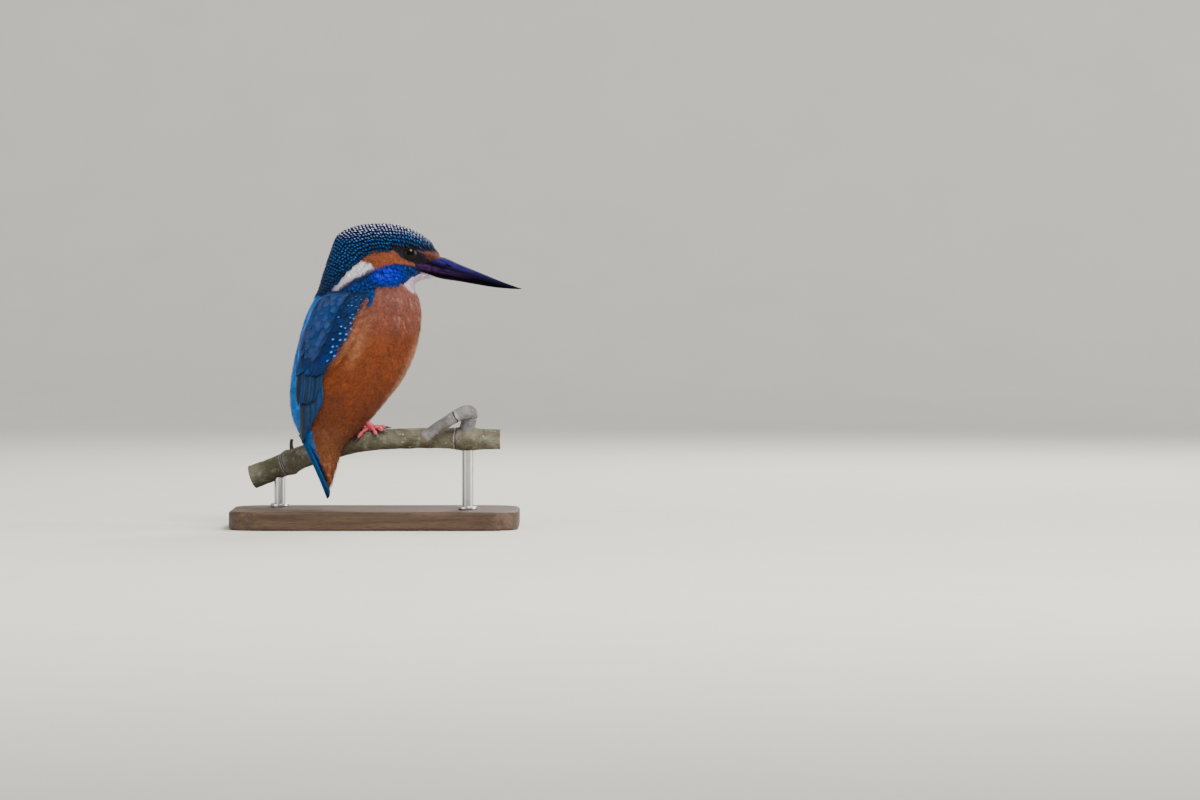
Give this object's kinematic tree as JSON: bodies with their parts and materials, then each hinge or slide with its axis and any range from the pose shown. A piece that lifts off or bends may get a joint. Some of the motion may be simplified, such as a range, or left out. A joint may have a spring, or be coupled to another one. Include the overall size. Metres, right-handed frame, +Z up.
{
  "type": "common kingfisher on a perch",
  "caption": "Life-size common kingfisher, upright and looking right, perched on a short cut branch held over a flat base by two rods.",
  "frame": {"origin": "centre of the stand base's underside", "axes": "+Z up, +X the way the bill points, +Y to the bird's left"},
  "size_m": [0.125, 0.076, 0.1306],
  "materials": {
    "crown_feathers": "matte",
    "breast_feathers": "matte",
    "wing_feathers": "satin",
    "tail_feathers": "satin",
    "bill_horn": "satin",
    "eye_glass": "gloss",
    "foot_skin": "satin",
    "bark": "matte",
    "stand_wood": "satin",
    "stand_metal": "satin"
  },
  "bodies": {
    "root": {"head": "crown_feathers", "neck": "breast_feathers", "torso": "breast_feathers", "wing_right": "wing_feathers", "wing_left": "wing_feathers", "tail": "tail_feathers", "bill_upper": "bill_horn", "bill_lower": "bill_horn", "eye_right": "eye_glass", "eye_left": "eye_glass", "leg_right": "foot_skin", "leg_left": "foot_skin", "perch": "bark", "stand_base": "stand_wood", "stand_rod_1": "stand_metal", "stand_rod_2": "stand_metal"}
  },
  "joints": []
}
